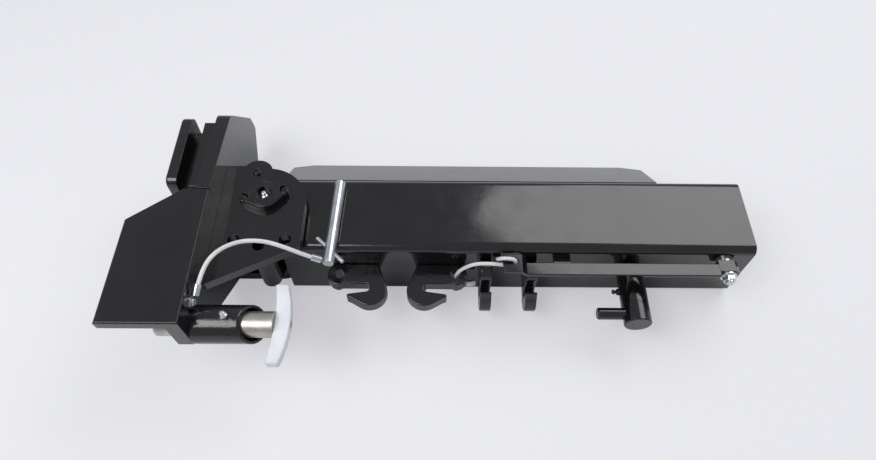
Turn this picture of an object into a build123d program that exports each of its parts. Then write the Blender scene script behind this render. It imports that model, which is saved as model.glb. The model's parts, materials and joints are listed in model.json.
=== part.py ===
from build123d import *

import os
from math import cos, pi, radians, sin, tan

# Swinging hitch arm: a box tube arm on a vertical pivot in a quick-attach head plate.
# Millimetres, +Z up. The part stands on Z = 0 and its box is centred on the origin.
# Lengths below are measured from the arm's datum, on its centre line, and at() moves them
# to the row's frame.

os.makedirs("parts", exist_ok=True)

# ---- arm tube -------------------------------------------------------------------------
TUBE = 101.6            # outside width and height of the square tube (4 in)
TUBE_WALL = 6.35
TUBE_CORNER = 10.0
TUBE_INNER_CORNER = TUBE_CORNER - TUBE_WALL
TUBE_START = 23.0       # where the tube's cut end begins, past the lock lug
TUBE_END = 577.0        # open end of the tube
SIDE = -TUBE / 2        # near side face, which carries the hooks and the lever

# ---- pivot ----------------------------------------------------------------------------
PIN_X, PIN_Y = 2.5, 7.0     # pivot pin's axis
PIN_R = 16.0
RUNNING = 0.05          # radial clearance of a shaft that turns or slides
SEAT = 0.03             # radial clearance of a fixed round fit
BUSH_R = 19.05
BUSH_LENGTH = 30.0
EAR_T = 12.7
WASHER_T = 2.0
WASHER_R = 25.0
EAR_TOP = 120.0         # top face of the upper ear
KNUCKLE_R = 45.0
KNUCKLE_EDGE = 1.0
COPE_GAP = 0.1
LOWER_EAR_R = 44.5
LOWER_EAR_EDGE = 1.0
PIN_EDGE = 1.5
UPPER_EAR_R = 50.3
EAR_FAR = 54.0          # far edge of the upper ear beside the back plate
LOBE_X, LOBE_Y, LOBE_R = -12.5, 44.0, 18.4
EAR_NEAR = -107.0       # near end of the upper ear at the back plate
EAR_RIGHT_NEAR = -58.6  # near end of the upper ear's right edge
EAR_CORNER = 3.0

# ---- locking holes on a circle about the pivot ----------------------------------------
LOCK_CIRCLE_R = 64.6
LOCK_ANGLE = -88.8      # middle hole
LOCK_STEP = 26.7        # swing from the middle to either side hole
LOCK_HOLE_R = 7.0
LUG_R = 11.5
LUG_ROOT_R = 27.0       # circle about the pivot that the lug flares out of
LUG_HEIGHT = 65.0

# ---- keeper flange of the pivot pin ---------------------------------------------------
KEEPER_T = 10.0
KEEPER_R = 19.5
KEEPER_TIP_R = 5.0
KEEPER_TIP_T = 5.0      # the two tips are spot-faced down to this thickness
KEEPER_SPOT_R = 5.6
KEEPER_BOLT_OFFSET = 23.8
KEEPER_TURN = 14.5
KEEPER_EDGE = 1.2
KEEPER_RECESS_R = 9.2
KEEPER_RECESS_DEPTH = 7.5
SCREW_R = 3.0
SCREW_HEAD_R = 4.8
SCREW_HEAD_T = 3.2
SCREW_DEPTH = 9.0
SCREW_SOCKET_R = 2.2
SCREW_CROWN = 1.4
SCREW_END_GAP = 1.0     # the screw's hole is this much deeper

# ---- back plate and wing --------------------------------------------------------------
PLATE_T = 16.0
PLATE_FACE = -50.0      # face that carries the ears
PLATE_BACK = PLATE_FACE - PLATE_T
PLATE_NEAR = -170.0
PLATE_CUT_Z = 104.0     # height of the near end's lower corner
PLATE_CUT_Y = -36.0     # foot of the diagonal cut
PLATE_TOP = 157.0
PLATE_STEP_Y = -6.0     # where the wing ends and the plate stands on alone
PLATE_FAR_TOP_Y, PLATE_FAR_TOP_Z = 112.0, 146.0
PLATE_NOSE_Y = 172.0
PLATE_SHOULDER_Y, PLATE_SHOULDER_Z = 166.0, 81.0
PLATE_NOSE_Z = 56.0
PLATE_HEEL_Y, PLATE_HEEL_Z = 143.0, 19.0
PLATE_FOOT_Y = 120.0
PLATE_NOSE_CORNER = 12.0
PLATE_TOP_CORNER = 14.0
WING_EDGE = 1.2
WING_T = 12.0
WING_LEFT = -133.5
WING_LEFT_FAR = -48.0
WING_FAR_X = -79.0
WING_GAP = 0.3

# ---- rail hook behind the plate's far end ---------------------------------------------
RAIL_NEAR, RAIL_FAR = 10.0, 112.0
LIP_T = 13.0
GROOVE = 12.0
SPACER_T = 18.0
SPACER_TOP = 135.0
LIP_TOP = 145.0
LIP_CORNER = 10.0
RAIL_EDGE = 3.0
RAIL_FLOOR = 112.0
RAIL_BOTTOM = 98.0

# ---- plunger in its collar ------------------------------------------------------------
PLUNGER_Y, PLUNGER_Z = -150.5, 112.0
PLUNGER_R = 14.0
PLUNGER_NOSE_R = 12.7   # turned-down nose past the plate
COLLAR_R = 20.6
COLLAR_BORE_R = 17.0
COLLAR_END = 11.0       # where the mitred end crosses the plunger's axis
COLLAR_MITRE = 28.0     # degrees off square
COLLAR_MITRE_TURN = 20.0    # the mitre faces up, turned this far towards the near side
GUIDE_LENGTH = 10.0
GUIDE_INSET = 13.0      # from the crossing point back to the guide
RETAINER_T = 5.0
RETAINER_R = 16.6
COLLAR_ZERK_X = -14.5
COLLAR_EDGE = 0.8
PLUNGER_NOSE = 25.0     # reach of the nose past the plate's back face
PLUNGER_CHAMFER = 2.5
PLUNGER_REACH = 34.0    # shoulder that carries the handle
TENON_R = 4.0
PLUNGER_WIRE = 2.0
PLUNGER_TURNS = 3
HANDLE_HALF = 45.0
HANDLE_END_T = 13.5
HANDLE_MID_T = 17.0
HANDLE_BOW = 4.0
HANDLE_HEIGHT = 12.0
HANDLE_EDGE = 1.2

# ---- grab hooks -----------------------------------------------------------------------
HOOK_T = 16.0
HOOK_Z = 58.0
HOOK_1_X, HOOK_2_X = 89.0, 227.0
HOOK_3_X, HOOK_4_X = 263.0, 317.0
HOOK_SMALL = 0.85       # the two upright hooks are a smaller size of the same hook
HOOK_UPRIGHT_Z = 70.0
EYE_R, EYE_HOLE_R = 14.0, 6.0
BEND_U, BEND_V, BEND_R = 37.0, 34.0, 20.5
SHANK_U, SHANK_V = 46.0, 26.0
THROAT_R = 5.2
THROAT_U = 31.8
THROAT_V = SHANK_V + THROAT_R
TIP_U, TIP_V, TIP_R = 10.5, 41.5, 2.3
TIP_FLARE = 0.45        # slope of the outside of the tip
BELLY_U, BELLY_V = 9.0, 2.2     # a point on the belly, back from the bend's outermost point
NECK_U = 4.0
HOOK_LEAN = 35.0        # degrees by which the back of the bend passes square
HOOK_EDGE = 1.6

# ---- release lever on the near side ---------------------------------------------------
STUD_X, STUD_Z = 545.5, 80.0
STUD_R = 5.0
STUD_REACH = 31.0
STUD_EDGE = 0.8
LEVER_START = 309.0
LEVER_IN, LEVER_OUT = 10.0, 26.0    # distances out from the tube's side
LEVER_BOTTOM, LEVER_T = 84.0, 6.0
LEVER_EDGE = 0.8
BLOCK_HALF = 12.5
BLOCK_BOTTOM, BLOCK_TOP = 70.0, 90.0
BLOCK_IN, BLOCK_OUT = 5.0, 19.5
BLOCK_CHAMFER = 6.0
SPACER_R = 9.0
NUT_HEX_R = 7.8
NUT_FLANGE_R = 9.5
NUT_FLANGE_T = 2.0
NUT_T = 7.5
NUT_GAP = 0.3
REST_X, REST_HALF, REST_T, REST_REACH = 352.0, 10.0, 6.0, 22.0
REST_CORNER = 3.0
SADDLE_T = 3.0
SADDLE_LEFT = 281.0
SADDLE_BEND = 303.0
SADDLE_IN = 3.0
SADDLE_TOP = 96.0
SADDLE_HOLE_X, SADDLE_HOLE_V, SADDLE_HOLE_R = 296.0, 12.0, 3.6

# ---- pull lock near the open end ------------------------------------------------------
LOCK_X, LOCK_Z = 440.2, 50.0
SLEEVE_R = 16.0
SLEEVE_LENGTH = 46.0    # on the axis, where the mitred seam crosses it
SLEEVE_MITRE = 28.0     # degrees off square
SLEEVE_CAVITY_R = 12.5
SLEEVE_FLOOR = 4.0
SLEEVE_CAVITY_END = 35.0
LOCK_PIN_R = 8.0
LOCK_PIN_EDGE = 2.0
LOCK_PIN_NOSE = 15.0    # reach into the tube's bore
LOCK_RING_R = 12.0
LOCK_RING_T = 4.0
LOCK_HEAD_LENGTH = 23.5
LOCK_SEAM = 0.4
LOCK_HEAD_EDGE = 1.0
LOCK_SOCKET = 16.0
LOCK_WIRE = 2.0
LOCK_TURNS = 4
GRIP_R = 7.0
GRIP_EDGE = 1.5
GRIP_OUT = 46.5
GRIP_IN = 9.5
GRIP_V = 56.0
SLEEVE_ZERK_V = 27.5

# ---- grease fittings ------------------------------------------------------------------
ZERK_HEX_R = 4.0
ZERK_HEX_T = 3.0
ZERK_NECK_R = 1.9
ZERK_NECK_LOW, ZERK_NECK_HIGH = 4.5, 5.5
ZERK_BALL_R, ZERK_BALL_Z = 3.1, 7.0
ZERK_CROWN_R, ZERK_CROWN_Z = 2.8, 8.0
ZERK_TIP_R = 1.5
ZERK_HEIGHT = 9.0
ZERK_SHANK_R = 2.4
ZERK_SHANK = 3.0
DRILL_LEAD = 1.0        # a drilled hole starts this far inside the bore it opens into

# ---- tread step on the far side -------------------------------------------------------
STEP_START, STEP_END = 12.0, 480.0
STEP_WIDTH = 80.0
STEP_T = 4.0
STEP_CLIP_X, STEP_CLIP_W = 25.0, 14.0
STEP_TOP_Z = 93.0
STEP_SLOPE = 39.0       # degrees below level
STEP_GAP = 0.3
BRACKET_XS = (60.0, 250.0, 440.0)
BRACKET_T = 6.0

# ---- hitch pin lying across the arm ---------------------------------------------------
HITCH_R = 6.5
HITCH_X = 84.5
HITCH_FAR, HITCH_NEAR = 38.5, -75.0
HITCH_LEAN = 2.4        # degrees off square
HITCH_LIFT = 0.6
HITCH_FAR_EDGE, HITCH_NEAR_EDGE = 1.5, 0.8
CROSS_R = 2.4
CROSS_BORE_R = 1.2
CROSS_LENGTH = 45.0
CROSS_FROM_NEAR = 18.0
CROSS_TURN = -44.0
BAND_T = 0.5
BAND_LENGTH = 4.0
BAND_FROM_NEAR = 3.5

# ---- tether and release cable ---------------------------------------------------------
TETHER_R = 2.4
CABLE_R = 2.2
FERRULE_R = 4.0
FERRULE_LENGTH = 12.0
CABLE_FERRULE_LENGTH = 11.0
EYELET_T = 2.0
EYELET_R = 6.4
EYELET_Y, EYELET_Z = -137.5, 138.0
CLIP_X, CLIP_Z = 275.0, 85.0
CLIP_SIZE = 9.0
CLIP_EDGE = 1.0

BEND_SHARE = 0.45       # part of a straight run that a bend may take up

# Routes of the two cables, from the arm's datum. Hand-chosen points of smooth bends.
TETHER_ROUTE = [
    (-45.0, -131.5, 141.0), (-41.0, -110.5, 150.5), (-32.0, -88.0, 153.0), (-11.0, -72.5, 152.0),
    (15.0, -67.0, 146.0), (38.0, -69.0, 135.0), (56.5, -71.0, 122.5), (74.0, -71.0, 110.8)]
CABLE_ROUTE = [
    (252, -62, 41), (227, -64.8, 40), (227, -64.8, 71), (246, -62, 88), (270, -62, 89),
    (296, -62.8, 84), (296, -62.8, 101.5), (277, -61.5, 101), (275.5, -56, 88)]

# Row frame: the box of the whole part is centred on the origin.
BOX_X_MIN, BOX_X_MAX = WING_LEFT, TUBE_END
BOX_Y_MIN = PLUNGER_Y - HANDLE_HALF
BOX_Y_MAX = PLATE_NOSE_Y
PIVOT_X = -(BOX_X_MIN + BOX_X_MAX) / 2
PIVOT_Y = -(BOX_Y_MIN + BOX_Y_MAX) / 2

# Heights that follow from the sizes above.
EAR_BOTTOM = EAR_TOP - EAR_T
KNUCKLE_BOTTOM = EAR_T + WASHER_T
KNUCKLE_TOP = EAR_BOTTOM - WASHER_T
KEEPER_TOP = EAR_TOP + KEEPER_T
WING_BOTTOM = PLATE_TOP - WING_T
LOWER_EAR_X = PLATE_FACE - PIN_X    # back plate's face from the pivot pin
PIVOT_PIN_FOOT = 0.5                # the pin stops short of the ground
SCREW_SEAT = EAR_TOP + KEEPER_TIP_T


def at(x, y, z):
    """A point given from the pivot axis, in the row's frame."""
    return (PIVOT_X + x, PIVOT_Y + y, z)


def level(z):
    """Horizontal plane at height z, with its origin on the arm's datum."""
    return Plane(origin=at(0, 0, z))


def on_pin(z):
    """Horizontal plane at height z, with its origin on the pivot pin's axis."""
    return Plane(origin=at(PIN_X, PIN_Y, z))


def across(x):
    """Upright plane at x, square to the arm: its own x is Y and its own y is Z."""
    return Plane(origin=at(x, 0, 0), x_dir=(0, 1, 0), z_dir=(1, 0, 0))


def beside(out):
    """Upright plane parallel to the near side, 'out' beyond it: x is X, y is Z, +z is outward."""
    return Plane(origin=at(0, SIDE - out, 0), x_dir=(1, 0, 0), z_dir=(0, -1, 0))


def lock_point(step):
    """Centre of a locking hole from the pivot pin, 'step' steps from the middle one."""
    angle = radians(LOCK_ANGLE + step * LOCK_STEP)
    return (LOCK_CIRCLE_R * cos(angle), LOCK_CIRCLE_R * sin(angle))


def save(part, name):
    part.label = name
    export_step(part, f"parts/{name}.step")


def ring(plane, outer, inner, length):
    """A plain ring, extruded from the plane along its normal."""
    with BuildPart() as body:
        with BuildSketch(plane):
            Circle(outer)
            Circle(inner, mode=Mode.SUBTRACT)
        extrude(amount=length)
    return body.part


def rod(plane, radius, length, edge=0.0):
    """A round rod from the plane along its normal, with a chamfer on its far end."""
    with BuildPart() as body:
        with BuildSketch(plane):
            Circle(radius)
        extrude(amount=length)
        if edge:
            chamfer(far_edges(body, plane), edge)
    return body.part


def far_edges(body, plane):
    """The edges of the end face that lies farthest along the plane's normal."""
    axis = Axis(plane.origin, plane.z_dir)
    return body.faces().sort_by(axis)[-1].edges()


def turned(plane, outline):
    """A solid turned about the plane's normal from (radius, height) points."""
    with BuildPart() as body:
        with BuildSketch(Plane(origin=plane.origin, x_dir=plane.x_dir, z_dir=-plane.y_dir)):
            with BuildLine():
                Polyline(*outline, close=True)
            make_face()
        revolve(axis=Axis(plane.origin, plane.z_dir))
    return body.part


def grease_fitting(plane):
    """Grease fitting: a shank in its hole, a base, a neck and a ball end."""
    return turned(plane, [
        (0, -ZERK_SHANK), (ZERK_SHANK_R, -ZERK_SHANK), (ZERK_SHANK_R, 0), (ZERK_HEX_R, 0),
        (ZERK_HEX_R, ZERK_HEX_T), (ZERK_NECK_R, ZERK_NECK_LOW), (ZERK_NECK_R, ZERK_NECK_HIGH),
        (ZERK_BALL_R, ZERK_BALL_Z), (ZERK_CROWN_R, ZERK_CROWN_Z), (ZERK_TIP_R, ZERK_HEIGHT),
        (0, ZERK_HEIGHT)])


def coil_spring(plane, radius, wire_r, length, turns):
    """Round-wire compression spring that starts on the plane."""
    with BuildPart() as body:
        with BuildLine() as path:
            Helix(pitch=length / turns, height=length, radius=radius, center=plane.origin,
                  direction=plane.z_dir)
        with BuildSketch(Plane(origin=path.line @ 0, z_dir=path.line % 0)):
            Circle(wire_r)
        sweep(path=path.line, is_frenet=True)
    return body.part


def cord_radii(points):
    """The largest tangent arc that each corner of a cord's route has room for."""
    radii = []
    for before, corner, after in zip(points, points[1:], points[2:]):
        run_in = Vector(*corner) - Vector(*before)
        run_out = Vector(*after) - Vector(*corner)
        shorter = min(run_in.length, run_out.length)
        half_turn = radians(run_in.get_angle(run_out)) / 2
        radii.append(BEND_SHARE * shorter / tan(half_turn))
    return radii


def cord(points, radius, name):
    """A cord's tube: straight runs joined by tangent arcs."""
    radii = cord_radii(points)
    with BuildPart() as body:
        with BuildLine() as path:
            FilletPolyline(*points, radius=radii)
        with BuildSketch(Plane(origin=path.line @ 0, z_dir=path.line % 0)):
            Circle(radius)
        sweep(path=path.line)
    length = sum(edge.length for edge in path.edges())
    print(name, "length", round(length, 1), "radii", [round(r, 1) for r in radii],
          "volume over section times length", round(body.part.volume / (pi * radius ** 2 * length), 4))
    return body.part


def eyelet_plane(out):
    """Plane on the back plate's face at the tether's screw, facing +X."""
    return Plane(origin=at(PLATE_FACE + out, EYELET_Y, EYELET_Z), x_dir=(0, 1, 0),
                 z_dir=(1, 0, 0))


# ---- head: back plate, wing, rail hook ------------------------------------------------
with BuildPart() as back_plate:
    with BuildSketch(across(PLATE_BACK)):
        with BuildLine():
            Polyline(
                (PLATE_NEAR, PLATE_CUT_Z), (PLATE_CUT_Y, 0), (PLATE_FOOT_Y, 0),
                (PLATE_HEEL_Y, PLATE_HEEL_Z), (PLATE_NOSE_Y, PLATE_NOSE_Z),
                (PLATE_SHOULDER_Y, PLATE_SHOULDER_Z), (PLATE_FAR_TOP_Y, PLATE_FAR_TOP_Z),
                (PLATE_STEP_Y, PLATE_TOP), (PLATE_STEP_Y, WING_BOTTOM), (PLATE_NEAR, WING_BOTTOM),
                close=True)
        make_face()
    extrude(amount=PLATE_T)
    corners = back_plate.edges().filter_by(Axis.X).group_by(Axis.Y)
    fillet(corners[-1], PLATE_NOSE_CORNER)
    fillet(back_plate.edges().filter_by(Axis.X).filter_by(
        lambda edge: abs(edge.center().Y - PIVOT_Y - PLATE_FAR_TOP_Y) < WING_GAP), PLATE_TOP_CORNER)
    with BuildSketch(Plane(origin=at(PLATE_BACK, PLUNGER_Y, PLUNGER_Z), x_dir=(0, 1, 0),
                           z_dir=(1, 0, 0))):
        Circle(PLUNGER_R + RUNNING)
    extrude(amount=PLATE_T, mode=Mode.SUBTRACT)
    with BuildSketch(eyelet_plane(0)):
        Circle(SCREW_R + SEAT)
    extrude(amount=-SCREW_DEPTH, mode=Mode.SUBTRACT)
save(back_plate.part, "back_plate")

with BuildPart() as wing_plate:
    with BuildSketch(level(WING_BOTTOM)):
        with BuildLine():
            Polyline(
                (WING_LEFT, PLATE_NEAR), (PLATE_FACE, PLATE_NEAR),
                (PLATE_FACE, PLATE_STEP_Y - WING_GAP), (WING_FAR_X, PLATE_STEP_Y - WING_GAP),
                (WING_LEFT, WING_LEFT_FAR), close=True)
        make_face()
    extrude(amount=WING_T)
    chamfer(wing_plate.faces().sort_by(Axis.Z)[-1].edges(), WING_EDGE)
save(wing_plate.part, "wing_plate")

RAIL_SPACER_LEFT = PLATE_BACK - SPACER_T
LIP_RIGHT = RAIL_SPACER_LEFT - GROOVE
LIP_LEFT = LIP_RIGHT - LIP_T

with BuildPart() as rail_spacer:
    with BuildSketch(across(RAIL_SPACER_LEFT)):
        with BuildLine():
            Polyline(
                (RAIL_NEAR, RAIL_FLOOR), (RAIL_FAR, RAIL_FLOOR), (RAIL_FAR, SPACER_TOP),
                (RAIL_NEAR, SPACER_TOP), close=True)
        make_face()
    extrude(amount=SPACER_T)
    chamfer(rail_spacer.faces().sort_by(Axis.Z)[-1].edges().filter_by(Axis.X), RAIL_EDGE)
save(rail_spacer.part, "rail_spacer")

with BuildPart() as rail_hook:
    with BuildSketch(level(RAIL_BOTTOM)):
        with Locations(((LIP_LEFT + PLATE_BACK) / 2, (RAIL_NEAR + RAIL_FAR) / 2)):
            Rectangle(PLATE_BACK - LIP_LEFT, RAIL_FAR - RAIL_NEAR)
    extrude(amount=RAIL_FLOOR - RAIL_BOTTOM)
    with BuildSketch(level(RAIL_FLOOR)):
        with Locations(((LIP_LEFT + LIP_RIGHT) / 2, (RAIL_NEAR + RAIL_FAR) / 2)):
            Rectangle(LIP_T, RAIL_FAR - RAIL_NEAR)
    extrude(amount=LIP_TOP - RAIL_FLOOR)
    fillet(rail_hook.edges().filter_by(Axis.X).group_by(Axis.Z)[-1], LIP_CORNER)
    fillet(rail_hook.faces().sort_by(Axis.X)[0].edges(), RAIL_EDGE)
save(rail_hook.part, "rail_hook")

# ---- ears ----------------------------------------------------------------------------
with BuildPart() as top_ear:
    with BuildSketch(level(EAR_BOTTOM)):
        with BuildLine():
            Polyline(
                (PLATE_FACE, EAR_NEAR), (PLATE_FACE + EAR_CORNER, EAR_NEAR),
                (UPPER_EAR_R, EAR_RIGHT_NEAR), (UPPER_EAR_R, 0), (0, UPPER_EAR_R),
                (LOBE_X, EAR_FAR), (PLATE_FACE, EAR_FAR), close=True)
        make_face()
        Circle(UPPER_EAR_R)
        with Locations((LOBE_X, LOBE_Y)):
            Circle(LOBE_R)
        with Locations((PLATE_FACE - UPPER_EAR_R, 0)):
            Rectangle(2 * UPPER_EAR_R, 4 * UPPER_EAR_R, mode=Mode.SUBTRACT)
    extrude(amount=EAR_T)
    with BuildSketch(on_pin(EAR_BOTTOM)):
        Circle(PIN_R + SEAT)
        with Locations(*[lock_point(step) for step in (-1, 0, 1)]):
            Circle(LOCK_HOLE_R)
    extrude(amount=EAR_T, mode=Mode.SUBTRACT)
    with BuildSketch(level(EAR_TOP)):
        with Locations((LOBE_X, LOBE_Y)):
            Circle(SCREW_R + SEAT)
    extrude(amount=-SCREW_DEPTH, mode=Mode.SUBTRACT)
    with BuildSketch(on_pin(EAR_TOP)):
        with PolarLocations(KEEPER_BOLT_OFFSET, 2, start_angle=KEEPER_TURN):
            Circle(SCREW_R + SEAT)
    extrude(amount=-SCREW_DEPTH, mode=Mode.SUBTRACT)
save(top_ear.part, "top_ear")

with BuildPart() as bottom_ear:
    with BuildSketch(on_pin(0)):
        Circle(LOWER_EAR_R)
        with Locations((LOWER_EAR_X / 2, 0)):
            Rectangle(-LOWER_EAR_X, 2 * LOWER_EAR_R)
        Circle(PIN_R + SEAT, mode=Mode.SUBTRACT)
    extrude(amount=EAR_T)
    chamfer(bottom_ear.faces().sort_by(Axis.Z)[-1].outer_wire().edges(), LOWER_EAR_EDGE)
save(bottom_ear.part, "bottom_ear")

# ---- pivot pin, keeper flange and their small parts -----------------------------------
with BuildPart() as pivot_pin:
    with BuildSketch(on_pin(PIVOT_PIN_FOOT)):
        Circle(PIN_R)
    extrude(amount=KEEPER_TOP - PIVOT_PIN_FOOT)
    chamfer(pivot_pin.faces().sort_by(Axis.Z)[0].edges(), PIN_EDGE)
    with BuildSketch(on_pin(KEEPER_TOP)):
        Circle(KEEPER_RECESS_R)
    extrude(amount=-KEEPER_RECESS_DEPTH, mode=Mode.SUBTRACT)
    with BuildSketch(on_pin(KEEPER_TOP - KEEPER_RECESS_DEPTH)):
        Circle(ZERK_SHANK_R + SEAT)
    extrude(amount=-EAR_TOP / 2, mode=Mode.SUBTRACT)
save(pivot_pin.part, "pivot_pin")

with BuildPart() as keeper_flange:
    with BuildSketch(on_pin(EAR_TOP)):
        Circle(KEEPER_R)
        with PolarLocations(KEEPER_BOLT_OFFSET, 2, start_angle=KEEPER_TURN):
            Circle(KEEPER_TIP_R)
        make_hull()
        Circle(PIN_R + SEAT, mode=Mode.SUBTRACT)
        with PolarLocations(KEEPER_BOLT_OFFSET, 2, start_angle=KEEPER_TURN):
            Circle(SCREW_R + SEAT, mode=Mode.SUBTRACT)
    extrude(amount=KEEPER_T)
    chamfer(keeper_flange.faces().sort_by(Axis.Z)[-1].outer_wire().edges(), KEEPER_EDGE)
    with BuildSketch(on_pin(SCREW_SEAT)):
        with PolarLocations(KEEPER_BOLT_OFFSET, 2, start_angle=KEEPER_TURN):
            Circle(KEEPER_SPOT_R)
    extrude(amount=KEEPER_T, mode=Mode.SUBTRACT)
save(keeper_flange.part, "keeper_flange")


def socket_screw(plane, depth):
    """Button screw: head on the plane, shank below it, a socket in the head."""
    with BuildPart() as body:
        with BuildSketch(plane):
            Circle(SCREW_HEAD_R)
        extrude(amount=SCREW_HEAD_T)
        fillet(far_edges(body, plane), SCREW_CROWN)
        with BuildSketch(plane):
            Circle(SCREW_R)
        extrude(amount=-depth)
        with BuildSketch(plane.offset(SCREW_HEAD_T)):
            RegularPolygon(SCREW_SOCKET_R, 6)
        extrude(amount=-SCREW_HEAD_T / 2, mode=Mode.SUBTRACT)
    return body.part


keeper_angle = radians(KEEPER_TURN)
keeper_bolts = Compound(children=[
    socket_screw(Plane(origin=at(PIN_X + side * KEEPER_BOLT_OFFSET * cos(keeper_angle),
                                 PIN_Y + side * KEEPER_BOLT_OFFSET * sin(keeper_angle),
                                 SCREW_SEAT)),
                 KEEPER_TIP_T + SCREW_DEPTH - SCREW_END_GAP)
    for side in (-1, 1)])
save(keeper_bolts, "keeper_bolts")
save(socket_screw(Plane(origin=at(LOBE_X, LOBE_Y, EAR_TOP)), SCREW_DEPTH - SCREW_END_GAP),
     "lobe_screw")
save(grease_fitting(on_pin(KEEPER_TOP - KEEPER_RECESS_DEPTH)), "pivot_zerk")
save(ring(on_pin(EAR_T), WASHER_R, PIN_R + 2 * RUNNING, WASHER_T), "thrust_washer_low")
save(ring(on_pin(KNUCKLE_TOP), WASHER_R, PIN_R + 2 * RUNNING, WASHER_T), "thrust_washer_top")

# ---- arm: knuckle, bushings, tube -----------------------------------------------------
with BuildPart() as knuckle:
    with BuildSketch(on_pin(KNUCKLE_BOTTOM)):
        Circle(KNUCKLE_R)
    extrude(amount=KNUCKLE_TOP - KNUCKLE_BOTTOM)
    chamfer(knuckle.faces().sort_by(Axis.Z)[-1].edges(), KNUCKLE_EDGE)
    with BuildSketch(on_pin(KNUCKLE_TOP - LUG_HEIGHT)):
        Circle(LUG_ROOT_R)
        with Locations(lock_point(0)):
            Circle(LUG_R)
        make_hull()
    extrude(amount=LUG_HEIGHT)
    with BuildSketch(on_pin(KNUCKLE_TOP)):
        with Locations(lock_point(0)):
            Circle(LOCK_HOLE_R)
    extrude(amount=-LUG_HEIGHT, mode=Mode.SUBTRACT)
    with BuildSketch(on_pin(KNUCKLE_BOTTOM)):
        Circle(BUSH_R + SEAT)
    extrude(amount=KNUCKLE_TOP - KNUCKLE_BOTTOM, mode=Mode.SUBTRACT)
save(knuckle.part, "knuckle")
save(ring(on_pin(KNUCKLE_BOTTOM), BUSH_R, PIN_R + RUNNING, BUSH_LENGTH), "bushing_low")
save(ring(on_pin(KNUCKLE_TOP - BUSH_LENGTH), BUSH_R, PIN_R + RUNNING, BUSH_LENGTH),
     "bushing_top")

with BuildPart() as arm_tube:
    with BuildSketch(across(TUBE_START)):
        with Locations((0, TUBE / 2)):
            RectangleRounded(TUBE, TUBE, TUBE_CORNER)
            RectangleRounded(TUBE - 2 * TUBE_WALL, TUBE - 2 * TUBE_WALL, TUBE_INNER_CORNER,
                             mode=Mode.SUBTRACT)
    extrude(amount=TUBE_END - TUBE_START)
    with BuildSketch(on_pin(0)):
        Circle(KNUCKLE_R + COPE_GAP)
    extrude(amount=TUBE, mode=Mode.SUBTRACT)
    with BuildSketch(beside(0)):
        with Locations((LOCK_X, LOCK_Z)):
            Circle(LOCK_PIN_R + RUNNING)
    extrude(amount=-TUBE_WALL, mode=Mode.SUBTRACT)
save(arm_tube.part, "arm_tube")

# ---- tread step -----------------------------------------------------------------------
step_slope = radians(STEP_SLOPE)
STEP_FOOT_Y = TUBE / 2 + STEP_T * sin(step_slope) + STEP_GAP


def on_step(x):
    """Sloping plane of the step's top: x along the arm, y down the slope, z out of it."""
    return Plane(origin=at(x, STEP_FOOT_Y, STEP_TOP_Z), x_dir=(1, 0, 0),
                 z_dir=(0, sin(step_slope), cos(step_slope)))


with BuildPart() as tread_step:
    with BuildSketch(on_step(0)):
        with BuildLine():
            Polyline(
                (STEP_START, 0), (STEP_START, STEP_WIDTH - STEP_CLIP_W),
                (STEP_START + STEP_CLIP_X, STEP_WIDTH), (STEP_END - STEP_CLIP_X, STEP_WIDTH),
                (STEP_END, STEP_WIDTH - STEP_CLIP_W), (STEP_END, 0), close=True)
        make_face()
    extrude(amount=-STEP_T)
save(tread_step.part, "tread_step")


def step_bracket(x):
    """Triangular gusset between the tube's far side and the underside of the step."""
    fall = tan(step_slope)
    high = STEP_TOP_Z + (STEP_FOOT_Y - TUBE / 2) * fall - STEP_T / cos(step_slope)
    reach = (STEP_WIDTH - STEP_CLIP_W) * cos(step_slope)
    with BuildPart() as body:
        with BuildSketch(across(x)):
            with BuildLine():
                Polyline((TUBE / 2, high), (TUBE / 2 + reach, high - reach * fall),
                         (TUBE / 2 + reach, high - reach * fall - BRACKET_T),
                         (TUBE / 2, TUBE_CORNER), close=True)
            make_face()
        extrude(amount=BRACKET_T / 2, both=True)
    return body.part


save(Compound(children=[step_bracket(x) for x in BRACKET_XS]), "step_brackets")


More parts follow.
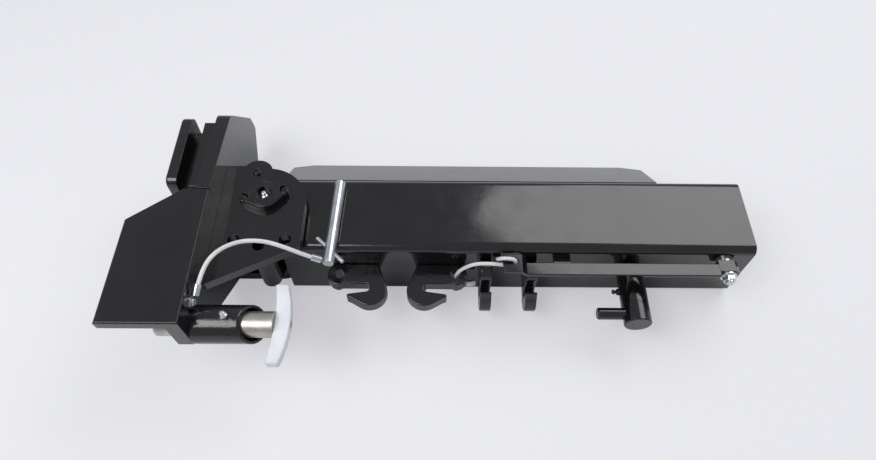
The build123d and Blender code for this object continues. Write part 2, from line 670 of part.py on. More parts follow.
# ---- grab hooks -----------------------------------------------------------------------
def grab_hook(plane, size):
    """Forged hook: plane x runs from the eye to the bend, plane y away from the tube."""
    def spot(u, v):
        return (u * size, v * size)

    lean = radians(HOOK_LEAN)
    tip_low, tip_end, tip_high = [spot(u, v) for u, v in (
        (TIP_U + TIP_R, TIP_V - TIP_R), (TIP_U, TIP_V), (TIP_U + TIP_R, TIP_V + TIP_R))]
    crown = spot(BEND_U, BEND_V + BEND_R)
    belly = spot(BEND_U - BELLY_U, BEND_V + BEND_R - BELLY_V)
    heel = spot(BEND_U + BEND_R * cos(lean), BEND_V - BEND_R * sin(lean))
    with BuildPart() as body:
        with BuildSketch(plane):
            with BuildLine():
                ThreePointArc((0, 0), spot(-EYE_R, EYE_R), spot(0, 2 * EYE_R))
                Polyline(spot(0, 2 * EYE_R), spot(NECK_U, SHANK_V), spot(THROAT_U, SHANK_V))
                ThreePointArc(spot(THROAT_U, SHANK_V), spot(THROAT_U + THROAT_R, THROAT_V),
                              spot(THROAT_U, THROAT_V + THROAT_R))
                Line(spot(THROAT_U, THROAT_V + THROAT_R), tip_low)
                ThreePointArc(tip_low, tip_end, tip_high)
                Spline(tip_high, belly, crown, tangents=((1, TIP_FLARE), (1, 0)))
                ThreePointArc(crown, spot(BEND_U + BEND_R, BEND_V), heel)
                Polyline(heel, spot(SHANK_U, 0), (0, 0))
            make_face()
        extrude(amount=HOOK_T * size / 2, both=True)
        away = Axis(plane.origin, plane.y_dir)
        faces = body.faces().sort_by(Axis(plane.origin, plane.z_dir))
        edges = faces[0].edges() + faces[-1].edges()
        fillet(edges.sort_by(away)[2:], HOOK_EDGE)
        with BuildSketch(plane):
            with Locations((0, EYE_R * size)):
                Circle(EYE_HOLE_R)
        extrude(amount=HOOK_T, both=True, mode=Mode.SUBTRACT)
    return body.part


def lying_hook(x, heading):
    return grab_hook(Plane(origin=at(x, SIDE, HOOK_Z), x_dir=(heading, 0, 0),
                           z_dir=(0, 0, -heading)), 1.0)


def upright_hook(x):
    return grab_hook(Plane(origin=at(x, SIDE, HOOK_UPRIGHT_Z), x_dir=(0, 0, -1),
                           z_dir=(-1, 0, 0)), HOOK_SMALL)


save(lying_hook(HOOK_1_X, 1), "grab_hook_1")
save(lying_hook(HOOK_2_X, -1), "grab_hook_2")
save(upright_hook(HOOK_3_X), "grab_hook_3")
save(upright_hook(HOOK_4_X), "grab_hook_4")

# ---- plunger, collar and handle -------------------------------------------------------
def plunger_plane(x):
    """Plane square to the plunger at x, facing +X: its own x is Y and its own y is Z."""
    return Plane(origin=at(x, PLUNGER_Y, PLUNGER_Z), x_dir=(0, 1, 0), z_dir=(1, 0, 0))


RETAINER_X = PLATE_FACE + 0.5
GUIDE_X = COLLAR_END - GUIDE_INSET - GUIDE_LENGTH
SPRING_GAP = 0.1

collar_tilt, collar_turn = radians(COLLAR_MITRE), radians(COLLAR_MITRE_TURN)
collar_mitre = Plane(origin=at(COLLAR_END, PLUNGER_Y, PLUNGER_Z),
                     z_dir=(cos(collar_tilt), -sin(collar_tilt) * sin(collar_turn),
                            sin(collar_tilt) * cos(collar_turn)))

with BuildPart() as lock_collar:
    with BuildSketch(plunger_plane(PLATE_FACE)):
        Circle(COLLAR_R)
        Circle(COLLAR_BORE_R, mode=Mode.SUBTRACT)
    extrude(amount=COLLAR_END + COLLAR_R - PLATE_FACE)
    split(bisect_by=collar_mitre, keep=Keep.BOTTOM)
    chamfer(lock_collar.faces().sort_by(Axis(collar_mitre.origin, collar_mitre.z_dir))[-1].edges(),
            COLLAR_EDGE)
    with BuildSketch(Plane(origin=at(COLLAR_ZERK_X, PLUNGER_Y, PLUNGER_Z + COLLAR_BORE_R - DRILL_LEAD))):
        Circle(ZERK_SHANK_R + SEAT)
    extrude(amount=COLLAR_R, mode=Mode.SUBTRACT)
save(lock_collar.part, "lock_collar")
save(ring(plunger_plane(GUIDE_X), COLLAR_BORE_R - SEAT, PLUNGER_R + RUNNING, GUIDE_LENGTH),
     "collar_guide")
save(grease_fitting(Plane(origin=at(COLLAR_ZERK_X, PLUNGER_Y, PLUNGER_Z + COLLAR_R))),
     "collar_zerk")

with BuildPart() as plunger_pin:
    with BuildSketch(plunger_plane(PLATE_BACK)):
        Circle(PLUNGER_R)
    extrude(amount=PLUNGER_REACH - PLATE_BACK)
    with BuildSketch(plunger_plane(PLATE_BACK)):
        Circle(PLUNGER_NOSE_R)
    extrude(amount=-PLUNGER_NOSE)
    chamfer(plunger_pin.faces().sort_by(Axis.X)[0].edges(), PLUNGER_CHAMFER)
    with BuildSketch(plunger_plane(PLUNGER_REACH)):
        Circle(TENON_R)
    extrude(amount=HANDLE_MID_T)
save(plunger_pin.part, "plunger_pin")
save(ring(plunger_plane(RETAINER_X), RETAINER_R, PLUNGER_R + SEAT, RETAINER_T),
     "plunger_retainer")
spring_room = GUIDE_X - RETAINER_X - RETAINER_T
save(coil_spring(plunger_plane(RETAINER_X + RETAINER_T + PLUNGER_WIRE / 2 + SPRING_GAP),
                 (COLLAR_BORE_R + PLUNGER_R) / 2, PLUNGER_WIRE / 2,
                 spring_room - PLUNGER_WIRE - 2 * SPRING_GAP, PLUNGER_TURNS), "plunger_spring")

with BuildPart() as plunger_handle:
    with BuildSketch(Plane(origin=at(PLUNGER_REACH, PLUNGER_Y, PLUNGER_Z - HANDLE_HEIGHT / 2))):
        with BuildLine():
            inner = ThreePointArc((-HANDLE_BOW, HANDLE_HALF), (0, 0), (-HANDLE_BOW, -HANDLE_HALF))
            outer = ThreePointArc((HANDLE_END_T - HANDLE_BOW, HANDLE_HALF), (HANDLE_MID_T, 0),
                                  (HANDLE_END_T - HANDLE_BOW, -HANDLE_HALF))
            Line(inner @ 0, outer @ 0)
            Line(inner @ 1, outer @ 1)
        make_face()
    extrude(amount=HANDLE_HEIGHT)
    chamfer(plunger_handle.edges(), HANDLE_EDGE)
    with BuildSketch(plunger_plane(PLUNGER_REACH)):
        Circle(PLUNGER_R + SEAT)
    extrude(amount=-HANDLE_BOW, mode=Mode.SUBTRACT)
    with BuildSketch(plunger_plane(PLUNGER_REACH - HANDLE_BOW)):
        Circle(TENON_R + SEAT)
    extrude(amount=HANDLE_MID_T + 2 * HANDLE_BOW, mode=Mode.SUBTRACT)
save(plunger_handle.part, "plunger_handle")

# ---- pull lock ------------------------------------------------------------------------
def lock_plane(out):
    """Plane square to the pull lock, 'out' beyond the tube's side, facing outward."""
    return Plane(origin=at(LOCK_X, SIDE - out, LOCK_Z), x_dir=(1, 0, 0), z_dir=(0, -1, 0))


def lock_seam(out):
    """Mitred plane across the pull lock, farther out on its +X side."""
    tilt = radians(SLEEVE_MITRE)
    return Plane(origin=at(LOCK_X, SIDE - out, LOCK_Z), z_dir=(-sin(tilt), -cos(tilt), 0))


with BuildPart() as lock_sleeve:
    with BuildSketch(lock_plane(0)):
        Circle(SLEEVE_R)
        Circle(LOCK_PIN_R + RUNNING, mode=Mode.SUBTRACT)
    extrude(amount=SLEEVE_LENGTH + SLEEVE_R)
    split(bisect_by=lock_seam(SLEEVE_LENGTH), keep=Keep.BOTTOM)
    with BuildSketch(lock_plane(SLEEVE_FLOOR)):
        Circle(SLEEVE_CAVITY_R)
    extrude(amount=SLEEVE_CAVITY_END - SLEEVE_FLOOR, mode=Mode.SUBTRACT)
    zerk_hole = Plane(origin=at(LOCK_X - SLEEVE_CAVITY_R + DRILL_LEAD, SIDE - SLEEVE_ZERK_V,
                                 LOCK_Z),
                      z_dir=(-1, 0, 0))
    with BuildSketch(zerk_hole):
        Circle(ZERK_SHANK_R + SEAT)
    extrude(amount=SLEEVE_R, mode=Mode.SUBTRACT)
save(lock_sleeve.part, "lock_sleeve")
save(grease_fitting(Plane(origin=at(LOCK_X - SLEEVE_R, SIDE - SLEEVE_ZERK_V, LOCK_Z),
                          z_dir=(-1, 0, 0))), "sleeve_zerk")

HEAD_V = SLEEVE_LENGTH + LOCK_SEAM
LOCK_RING_V = SLEEVE_FLOOR + LOCK_SEAM

with BuildPart() as lock_pin:
    with BuildSketch(lock_plane(-TUBE_WALL - LOCK_PIN_NOSE)):
        Circle(LOCK_PIN_R)
    extrude(amount=TUBE_WALL + LOCK_PIN_NOSE + HEAD_V + LOCK_SOCKET)
    chamfer(lock_pin.faces().sort_by(Axis.Y)[-1].edges(), LOCK_PIN_EDGE)
    with BuildSketch(lock_plane(LOCK_RING_V)):
        Circle(LOCK_RING_R)
    extrude(amount=LOCK_RING_T)
save(lock_pin.part, "lock_pin")

with BuildPart() as lock_head:
    with BuildSketch(lock_plane(HEAD_V - SLEEVE_R)):
        Circle(SLEEVE_R)
    extrude(amount=LOCK_HEAD_LENGTH + SLEEVE_R)
    chamfer(far_edges(lock_head, lock_plane(HEAD_V)), LOCK_HEAD_EDGE)
    split(bisect_by=lock_seam(HEAD_V), keep=Keep.TOP)
    with BuildSketch(lock_plane(HEAD_V - SLEEVE_R)):
        Circle(LOCK_PIN_R + SEAT)
    extrude(amount=SLEEVE_R + LOCK_SOCKET + LOCK_SEAM, mode=Mode.SUBTRACT)
    grip_hole = Plane(origin=at(LOCK_X - GRIP_IN, SIDE - GRIP_V, LOCK_Z), z_dir=(-1, 0, 0))
    with BuildSketch(grip_hole):
        Circle(GRIP_R + SEAT)
    extrude(amount=SLEEVE_R, mode=Mode.SUBTRACT)
save(lock_head.part, "lock_head")
save(rod(grip_hole, GRIP_R, GRIP_OUT - GRIP_IN, GRIP_EDGE), "lock_grip")

lock_room = SLEEVE_CAVITY_END - LOCK_RING_V - LOCK_RING_T
save(coil_spring(lock_plane(LOCK_RING_V + LOCK_RING_T + LOCK_WIRE / 2 + SPRING_GAP),
                 (SLEEVE_CAVITY_R + LOCK_PIN_R) / 2, LOCK_WIRE / 2,
                 lock_room - LOCK_WIRE - 2 * SPRING_GAP, LOCK_TURNS), "lock_spring")

# ---- release lever --------------------------------------------------------------------
def stud_plane(out):
    """Plane square to the lever's stud, facing outward."""
    return Plane(origin=at(STUD_X, SIDE - out, STUD_Z), x_dir=(1, 0, 0), z_dir=(0, -1, 0))


with BuildPart() as lever_bar:
    with BuildSketch(beside(LEVER_IN)):
        with BuildLine():
            Polyline((LEVER_START, LEVER_BOTTOM), (STUD_X - BLOCK_HALF, LEVER_BOTTOM),
                     (STUD_X - BLOCK_HALF, LEVER_BOTTOM + LEVER_T),
                     (LEVER_START, LEVER_BOTTOM + LEVER_T), close=True)
        make_face()
    extrude(amount=LEVER_OUT - LEVER_IN)
    chamfer(lever_bar.edges().filter_by(Axis.X), LEVER_EDGE)
save(lever_bar.part, "lever_bar")

with BuildPart() as lever_block:
    with BuildSketch(beside(BLOCK_IN)):
        with Locations((STUD_X, (BLOCK_BOTTOM + BLOCK_TOP) / 2)):
            Rectangle(2 * BLOCK_HALF, BLOCK_TOP - BLOCK_BOTTOM)
    extrude(amount=BLOCK_OUT - BLOCK_IN)
    chamfer(lever_block.edges().filter_by(Axis.Y).group_by(Axis.X)[-1], BLOCK_CHAMFER)
    with BuildSketch(stud_plane(0)):
        Circle(STUD_R + RUNNING)
    extrude(amount=LEVER_OUT, mode=Mode.SUBTRACT)
save(lever_block.part, "lever_block")

save(rod(stud_plane(0), STUD_R, STUD_REACH, STUD_EDGE), "lever_stud")
save(ring(stud_plane(0), SPACER_R, STUD_R + RUNNING, BLOCK_IN - NUT_GAP), "lever_spacer")

with BuildPart() as lever_nut:
    with BuildSketch(stud_plane(BLOCK_OUT + NUT_GAP)):
        Circle(NUT_FLANGE_R)
    extrude(amount=NUT_FLANGE_T)
    with BuildSketch(stud_plane(BLOCK_OUT + NUT_GAP)):
        RegularPolygon(NUT_HEX_R, 6)
    extrude(amount=NUT_T)
    with BuildSketch(stud_plane(BLOCK_OUT)):
        Circle(STUD_R + SEAT)
    extrude(amount=2 * NUT_T, mode=Mode.SUBTRACT)
save(lever_nut.part, "lever_nut")

with BuildPart() as lever_rest:
    with BuildSketch(beside(0)):
        with Locations((REST_X, LEVER_BOTTOM - REST_T / 2)):
            Rectangle(2 * REST_HALF, REST_T)
    extrude(amount=REST_REACH)
    chamfer(lever_rest.edges().filter_by(Axis.Z).group_by(Axis.Y)[0], REST_CORNER)
save(lever_rest.part, "lever_rest")

with BuildPart() as catch_saddle:
    with BuildSketch(beside(SADDLE_IN)):
        with BuildLine():
            Polyline(
                (SADDLE_LEFT, SADDLE_TOP), (SADDLE_BEND, SADDLE_TOP),
                (LEVER_START, LEVER_BOTTOM + LEVER_T), (LEVER_START, LEVER_BOTTOM),
                (SADDLE_BEND - SADDLE_T, SADDLE_TOP - SADDLE_T), (SADDLE_LEFT, SADDLE_TOP - SADDLE_T),
                close=True)
        make_face()
    extrude(amount=LEVER_OUT - SADDLE_IN)
    with BuildSketch(level(SADDLE_TOP)):
        with Locations((SADDLE_HOLE_X, SIDE - SADDLE_HOLE_V)):
            Circle(SADDLE_HOLE_R)
    extrude(amount=-2 * SADDLE_T, mode=Mode.SUBTRACT)
save(catch_saddle.part, "catch_saddle")

# ---- hitch pin with its cross pin and ring --------------------------------------------
HITCH_Z = TUBE + HITCH_LIFT + HITCH_R
HITCH_LENGTH = HITCH_FAR - HITCH_NEAR
lean = radians(HITCH_LEAN)
hitch_axis = (-sin(lean), -cos(lean), 0)
hitch_far_end = Plane(origin=at(HITCH_X + HITCH_LENGTH / 2 * sin(lean), HITCH_FAR, HITCH_Z),
                      z_dir=hitch_axis)
cross_turn = radians(CROSS_TURN)
cross_axis = Vector(cos(cross_turn), sin(cross_turn), 0)
cross_point = hitch_far_end.offset(HITCH_LENGTH - CROSS_FROM_NEAR).origin
cross_start = Plane(origin=cross_point - cross_axis * (CROSS_LENGTH / 2), z_dir=cross_axis)

with BuildPart() as hitch_pin:
    with BuildSketch(hitch_far_end):
        Circle(HITCH_R)
    extrude(amount=HITCH_LENGTH)
    chamfer(hitch_pin.faces().sort_by(Axis.Y)[-1].edges(), HITCH_FAR_EDGE)
    chamfer(hitch_pin.faces().sort_by(Axis.Y)[0].edges(), HITCH_NEAR_EDGE)
    with BuildSketch(cross_start):
        Circle(CROSS_R + SEAT)
    extrude(amount=CROSS_LENGTH, mode=Mode.SUBTRACT)
save(hitch_pin.part, "hitch_pin")
save(ring(cross_start, CROSS_R, CROSS_BORE_R, CROSS_LENGTH), "cross_pin")

save(ring(hitch_far_end.offset(HITCH_LENGTH - BAND_FROM_NEAR - BAND_LENGTH), HITCH_R + BAND_T,
          HITCH_R + SEAT, BAND_LENGTH), "tether_band")

# ---- tether from the back plate to the hitch pin --------------------------------------
def sleeve_on(start, towards, outer, inner, length):
    """A crimped sleeve round a cable, from one end of its route towards the next point."""
    along = Vector(*towards) - Vector(*start)
    return ring(Plane(origin=start, z_dir=along), outer, inner, length)


def on_route(points):
    return [at(*point) for point in points]


tether_route = on_route(TETHER_ROUTE)
save(cord(tether_route, TETHER_R, "tether_cable"), "tether_cable")
save(socket_screw(eyelet_plane(EYELET_T), EYELET_T + SCREW_DEPTH - SCREW_END_GAP), "tether_screw")
save(ring(eyelet_plane(0), EYELET_R, SCREW_R + SEAT, EYELET_T), "tether_eyelet")
save(sleeve_on(tether_route[0], tether_route[1], FERRULE_R, TETHER_R + SEAT, FERRULE_LENGTH),
     "tether_ferrule_head")
save(sleeve_on(tether_route[-1], tether_route[-2], FERRULE_R, TETHER_R + SEAT, FERRULE_LENGTH),
     "tether_ferrule_pin")

# ---- release cable from the catch saddle to the second hook's eye ----------------------
cable_route = on_route(CABLE_ROUTE)
save(cord(cable_route, CABLE_R, "release_cable"), "release_cable")
save(sleeve_on(cable_route[0], cable_route[1], FERRULE_R, CABLE_R + SEAT, CABLE_FERRULE_LENGTH),
     "release_ferrule")

with BuildPart() as cable_clip:
    with BuildSketch(beside(0)):
        with Locations((CLIP_X, CLIP_Z)):
            Rectangle(CLIP_SIZE, CLIP_SIZE)
    extrude(amount=CLIP_SIZE)
    chamfer(cable_clip.edges().filter_by(Axis.X), CLIP_EDGE)
save(cable_clip.part, "cable_clip")
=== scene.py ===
from math import cos, radians, sin

import bpy
from mathutils import Matrix, Vector
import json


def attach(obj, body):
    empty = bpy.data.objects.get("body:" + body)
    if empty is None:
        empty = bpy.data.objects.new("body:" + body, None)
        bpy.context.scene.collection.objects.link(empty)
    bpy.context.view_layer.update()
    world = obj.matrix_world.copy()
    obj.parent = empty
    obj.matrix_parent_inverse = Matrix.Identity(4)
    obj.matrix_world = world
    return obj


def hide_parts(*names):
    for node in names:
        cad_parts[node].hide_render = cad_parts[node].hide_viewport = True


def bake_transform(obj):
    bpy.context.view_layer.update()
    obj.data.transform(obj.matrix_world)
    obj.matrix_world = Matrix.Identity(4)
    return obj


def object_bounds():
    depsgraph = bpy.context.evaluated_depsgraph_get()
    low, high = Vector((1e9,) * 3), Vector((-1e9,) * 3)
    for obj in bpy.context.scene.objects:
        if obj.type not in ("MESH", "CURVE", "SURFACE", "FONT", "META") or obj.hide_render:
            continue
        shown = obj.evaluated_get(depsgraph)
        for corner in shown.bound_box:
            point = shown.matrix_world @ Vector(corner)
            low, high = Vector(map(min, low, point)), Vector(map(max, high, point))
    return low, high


# Looks of the pivoting hitch arm, in metres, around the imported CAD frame.

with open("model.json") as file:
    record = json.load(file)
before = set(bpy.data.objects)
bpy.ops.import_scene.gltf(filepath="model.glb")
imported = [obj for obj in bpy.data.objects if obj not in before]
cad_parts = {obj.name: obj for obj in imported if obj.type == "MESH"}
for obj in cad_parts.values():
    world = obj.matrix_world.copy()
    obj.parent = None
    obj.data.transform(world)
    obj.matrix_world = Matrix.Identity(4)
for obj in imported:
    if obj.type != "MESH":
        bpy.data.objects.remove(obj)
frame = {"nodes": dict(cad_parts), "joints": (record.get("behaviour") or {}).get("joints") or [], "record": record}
nodes = frame["nodes"]
cad_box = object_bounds()
MM = 0.001


# ---- camera, floor and light ----------------------------------------------------------
CAMERA_PLACE = (-0.0196, -0.41195, 0.7368)
CAMERA_PITCH = radians(57.85)       # below the horizon
CAMERA_ROLL = radians(0.86)
CAMERA_YAW = radians(-0.53)
CAMERA_LENS = 26.21                 # millimetres on a 36 mm sensor


def add_camera():
    forward = Vector((0, cos(CAMERA_PITCH), -sin(CAMERA_PITCH)))
    up = Vector((0, sin(CAMERA_PITCH), cos(CAMERA_PITCH)))
    turn = Matrix.Rotation(CAMERA_YAW, 3, "Z")
    forward, up, right = turn @ forward, turn @ up, turn @ Vector((1, 0, 0))
    side = cos(CAMERA_ROLL) * right + sin(CAMERA_ROLL) * up
    top = cos(CAMERA_ROLL) * up - sin(CAMERA_ROLL) * right
    data = bpy.data.cameras.new("camera")
    data.lens = CAMERA_LENS
    data.sensor_width = 36
    data.clip_start = 0.01
    camera = bpy.data.objects.new("camera", data)
    bpy.context.scene.collection.objects.link(camera)
    rotation = Matrix((side, top, -forward)).transposed().to_4x4()
    camera.matrix_world = Matrix.Translation(CAMERA_PLACE) @ rotation
    bpy.context.scene.camera = camera


def add_lamp(name, place, aim, size, power):
    data = bpy.data.lights.new(name, "AREA")
    data.shape = "RECTANGLE"
    data.size, data.size_y = size
    data.energy = power
    lamp = bpy.data.objects.new(name, data)
    lamp.location = place
    lamp.rotation_euler = (Vector(aim) - Vector(place)).to_track_quat("-Z", "Y").to_euler()
    bpy.context.scene.collection.objects.link(lamp)


# ---- node helpers ---------------------------------------------------------------------
def new_material(name):
    material = bpy.data.materials.new(name)
    material.use_nodes = True
    tree = material.node_tree
    tree.nodes.clear()
    output = tree.nodes.new("ShaderNodeOutputMaterial")
    shader = tree.nodes.new("ShaderNodeBsdfPrincipled")
    tree.links.new(shader.outputs[0], output.inputs[0])
    return material, tree, shader


def add_noise(tree, scale, detail=4.0, stretch=(1, 1, 1)):
    coordinates = tree.nodes.new("ShaderNodeTexCoord")
    mapping = tree.nodes.new("ShaderNodeMapping")
    mapping.inputs["Scale"].default_value = stretch
    texture = tree.nodes.new("ShaderNodeTexNoise")
    texture.inputs["Scale"].default_value = scale
    texture.inputs["Detail"].default_value = detail
    tree.links.new(coordinates.outputs["Object"], mapping.inputs["Vector"])
    tree.links.new(mapping.outputs[0], texture.inputs["Vector"])
    return texture.outputs["Fac"]


def add_ramp(tree, source, stops):
    ramp = tree.nodes.new("ShaderNodeValToRGB")
    elements = ramp.color_ramp.elements
    while len(elements) < len(stops):
        elements.new(0.5)
    for element, (place, value) in zip(elements, stops):
        element.position = place
        element.color = value if len(value) == 4 else (*value, 1)
    tree.links.new(source, ramp.inputs[0])
    return ramp.outputs[0]


def gray(value):
    return (value, value, value, 1)


def add_bump(tree, source, strength, distance, normal=None):
    bump = tree.nodes.new("ShaderNodeBump")
    bump.inputs["Strength"].default_value = strength
    bump.inputs["Distance"].default_value = distance
    tree.links.new(source, bump.inputs["Height"])
    if normal:
        tree.links.new(normal, bump.inputs["Normal"])
    return bump.outputs[0]


def rounded_edges(tree, radius):
    bevel = tree.nodes.new("ShaderNodeBevel")
    bevel.samples = 6
    bevel.inputs["Radius"].default_value = radius
    return bevel.outputs[0]


# ---- materials ------------------------------------------------------------------------
def enamel(name, peel, peel_size, grain=0.0, edge=0.8 * MM):
    """Gloss black enamel: orange peel, dust-softened gloss, and rounded-looking edges."""
    material, tree, shader = new_material(name)
    tint = add_ramp(tree, add_noise(tree, 18, 6), [(0.3, (0.0035, 0.0035, 0.004)),
                                                   (0.75, (0.009, 0.0085, 0.0095))])
    tree.links.new(tint, shader.inputs["Base Color"])
    haze = add_ramp(tree, add_noise(tree, 42, 8), [(0.35, gray(0.10)), (0.8, gray(0.24))])
    tree.links.new(haze, shader.inputs["Roughness"])
    shader.inputs["Specular IOR Level"].default_value = 0.5
    shader.inputs["Coat Weight"].default_value = 0.35
    shader.inputs["Coat Roughness"].default_value = 0.06
    normal = rounded_edges(tree, edge)
    normal = add_bump(tree, add_noise(tree, peel_size, 3), peel, 0.6 * MM, normal)
    if grain:
        normal = add_bump(tree, add_noise(tree, 900, 2), grain, 0.3 * MM, normal)
    tree.links.new(normal, shader.inputs["Normal"])
    return material


def plated(name, dark, light, rough, scratch=0.15):
    """Plated steel: cloudy colour, fine scratches and soft edges."""
    material, tree, shader = new_material(name)
    shader.inputs["Metallic"].default_value = 0.9
    cloud = add_ramp(tree, add_noise(tree, 60, 6), [(0.3, dark), (0.75, light)])
    tree.links.new(cloud, shader.inputs["Base Color"])
    gloss = add_ramp(tree, add_noise(tree, 150, 5, (1, 6, 1)),
                     [(0.3, gray(rough * 0.75)), (0.8, gray(rough * 1.3))])
    tree.links.new(gloss, shader.inputs["Roughness"])
    normal = rounded_edges(tree, 0.4 * MM)
    normal = add_bump(tree, add_noise(tree, 700, 3, (1, 8, 1)), scratch, 0.1 * MM, normal)
    tree.links.new(normal, shader.inputs["Normal"])
    return material


def coated(name, low, high, rough, bump):
    """White or pale coating with faint dirt and a soft surface."""
    material, tree, shader = new_material(name)
    cloud = add_ramp(tree, add_noise(tree, 35, 7), [(0.3, low), (0.65, high)])
    tree.links.new(cloud, shader.inputs["Base Color"])
    gloss = add_ramp(tree, add_noise(tree, 120, 4), [(0.3, gray(rough)), (0.8, gray(rough + 0.15))])
    tree.links.new(gloss, shader.inputs["Roughness"])
    normal = rounded_edges(tree, 0.6 * MM)
    normal = add_bump(tree, add_noise(tree, 400, 3), bump, 0.2 * MM, normal)
    tree.links.new(normal, shader.inputs["Normal"])
    return material


BLACK = enamel("black_enamel", 0.10, 130)
CAST = enamel("cast_enamel", 0.55, 210, 0.25, 1.5 * MM)
ZINC = plated("zinc_plate", (0.50, 0.53, 0.56, 1), (0.82, 0.84, 0.86, 1), 0.22)
NICKEL = plated("nickel_plate", (0.42, 0.40, 0.35, 1), (0.66, 0.63, 0.57, 1), 0.36)
WHITE = coated("white_coating", (0.66, 0.69, 0.72, 1), (0.82, 0.84, 0.87, 1), 0.35, 0.15)
VINYL = coated("white_vinyl", (0.62, 0.63, 0.62, 1), (0.80, 0.81, 0.80, 1), 0.30, 0.10)
BRONZE = plated("bronze", (0.30, 0.18, 0.07, 1), (0.50, 0.33, 0.14, 1), 0.35)

SLOT_MATERIALS = {"black_enamel": BLACK, "zinc_plate": ZINC, "nickel_pin": NICKEL,
                  "white_coating": WHITE, "white_cable": VINYL, "bronze": BRONZE}
CAST_NODES = ("back_plate", "wing_plate", "rail_hook", "rail_spacer", "lock_collar",
              "grab_hook_1", "grab_hook_2", "grab_hook_3", "grab_hook_4", "keeper_flange")


def dress(piece, material):
    piece.data.materials.clear()
    piece.data.materials.append(material)


def dress_cad():
    for part in frame["record"]["subparts"]:
        dress(nodes[part["node"]], SLOT_MATERIALS[part["material_slot"]])
    for name in CAST_NODES:
        dress(nodes[name], CAST)


FLOOR = 4.0                         # half the floor's side
FLOOR_GAP = 0.2 * MM                # keeps the floor clear of the lowest faces


def floor_material():
    """Pale floor that keeps the shadow and shows near white to the camera."""
    material, tree, shader = new_material("floor")
    shader.inputs["Base Color"].default_value = (0.80, 0.80, 0.82, 1)
    shader.inputs["Roughness"].default_value = 0.9
    glow = tree.nodes.new("ShaderNodeEmission")
    glow.inputs["Color"].default_value = (0.93, 0.93, 0.96, 1)
    mix = tree.nodes.new("ShaderNodeMixShader")
    path = tree.nodes.new("ShaderNodeLightPath")
    seen = tree.nodes.new("ShaderNodeMath")
    seen.operation = "MULTIPLY"
    seen.inputs[1].default_value = 0.45
    tree.links.new(path.outputs["Is Camera Ray"], seen.inputs[0])
    tree.links.new(seen.outputs[0], mix.inputs[0])
    tree.links.new(shader.outputs[0], mix.inputs[1])
    tree.links.new(glow.outputs[0], mix.inputs[2])
    output = [node for node in tree.nodes if node.type == "OUTPUT_MATERIAL"][0]
    tree.links.new(mix.outputs[0], output.inputs[0])
    return material


def add_stage():
    mesh = bpy.data.meshes.new("floor")
    mesh.from_pydata([(-FLOOR, -FLOOR, 0), (FLOOR, -FLOOR, 0), (FLOOR, FLOOR, 0), (-FLOOR, FLOOR, 0)],
                     [], [(0, 1, 2, 3)])
    floor = bpy.data.objects.new("floor", mesh)
    floor.location.z = cad_box[0][2] - FLOOR_GAP
    bpy.context.scene.collection.objects.link(floor)
    dress(floor, floor_material())
    world = bpy.data.worlds.new("studio")
    world.use_nodes = True
    world.node_tree.nodes["Background"].inputs["Color"].default_value = (0.90, 0.92, 1.0, 1)
    world.node_tree.nodes["Background"].inputs["Strength"].default_value = 0.45
    bpy.context.scene.world = world
    bpy.context.scene.view_settings.view_transform = "Standard"
    add_lamp("key", (-0.9, -0.6, 1.6), (-0.1, 0, 0), (1.2, 0.8), 16)
    add_lamp("fill", (0.9, 0.9, 1.5), (0.1, 0, 0), (1.4, 0.9), 12)


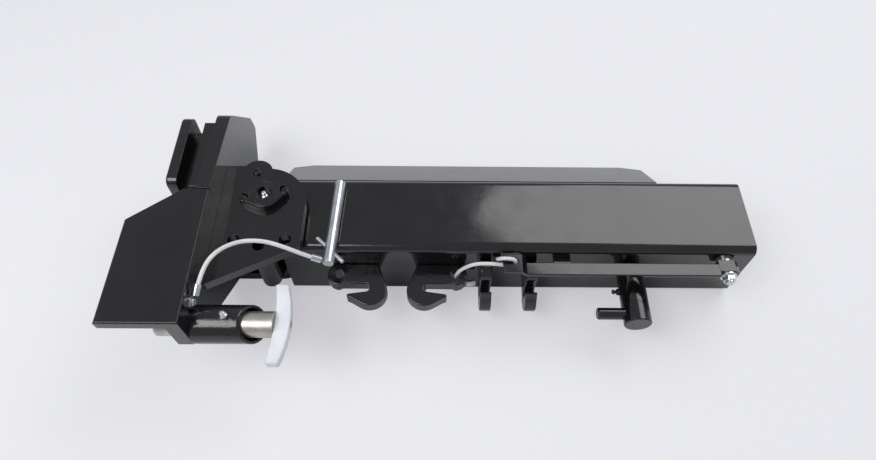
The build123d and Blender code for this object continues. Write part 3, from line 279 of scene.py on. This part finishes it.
# ---- cables ---------------------------------------------------------------------------
SWING = [joint for joint in frame["joints"] if joint["name"] == "arm_swing"][0]["pos_m"]
PIN_OFFSET = (2.5, 7.0)             # the pivot pin's axis from the datum of the routes
TETHER_ROUTE = [
    (-45.0, -131.5, 141.0), (-41.0, -110.5, 150.5), (-32.0, -88.0, 153.0), (-11.0, -72.5, 152.0),
    (15.0, -67.0, 146.0), (38.0, -69.0, 135.0), (56.5, -71.0, 122.5), (74.0, -71.0, 110.8)]
TETHER_R, TETHER_LENGTH = 2.4 * MM, 0.168
RELEASE_R, RELEASE_LENGTH = 2.2 * MM, 0.166
CABLE_ROUTE = [
    (252, -62, 41), (227, -64.8, 40), (227, -64.8, 71), (246, -62, 88), (270, -62, 89),
    (296, -62.8, 84), (296, -62.8, 101.5), (277, -61.5, 101), (275.5, -56, 88)]


def in_row(points):
    """Route points given in millimetres from the arm's datum, in the row's frame in metres."""
    datum_x, datum_y = SWING[0] - PIN_OFFSET[0] * MM, SWING[1] - PIN_OFFSET[1] * MM
    return [Vector((datum_x + x * MM, datum_y + y * MM, z * MM)) for x, y, z in points]


def add_route(name, points, radius):
    """A smooth spline through the route, as a bevelled curve or, with no radius, as its bare line."""
    curve = bpy.data.curves.new(name, "CURVE")
    curve.dimensions = "3D"
    spline = curve.splines.new("NURBS")
    spline.points.add(len(points) - 1)
    for point, place in zip(spline.points, points):
        point.co = (*place, 1)
    spline.order_u = 3
    spline.use_endpoint_u = True
    spline.resolution_u = 12
    curve.bevel_depth = radius
    curve.bevel_resolution = 5
    curve.use_fill_caps = radius > 0
    route = bpy.data.objects.new(name, curve)
    bpy.context.scene.collection.objects.link(route)
    bpy.context.view_layer.update()
    mesh = bpy.data.meshes.new_from_object(route.evaluated_get(bpy.context.evaluated_depsgraph_get()))
    bpy.data.objects.remove(route)
    return mesh


def add_cable(name, points, radius):
    """The cable's tube as a mesh, and the points of the line that it follows."""
    piece = bpy.data.objects.new(name, add_route(name + "_tube", points, radius))
    bpy.context.scene.collection.objects.link(piece)
    for face in piece.data.polygons:
        face.use_smooth = True
    dress(piece, VINYL)
    line = add_route(name + "_route", points, 0)
    return piece, [vertex.co.copy() for vertex in line.vertices]


def add_cables():
    route = in_row(TETHER_ROUTE)
    tether, path = add_cable("tether_line", route, TETHER_R)
    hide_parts("tether_cable")
    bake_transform(tether)
    route = in_row(CABLE_ROUTE)
    release, path = add_cable("release_line", route, RELEASE_R)
    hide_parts("release_cable")
    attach(release, "arm")


add_camera()
add_cables()
dress_cad()
add_stage()
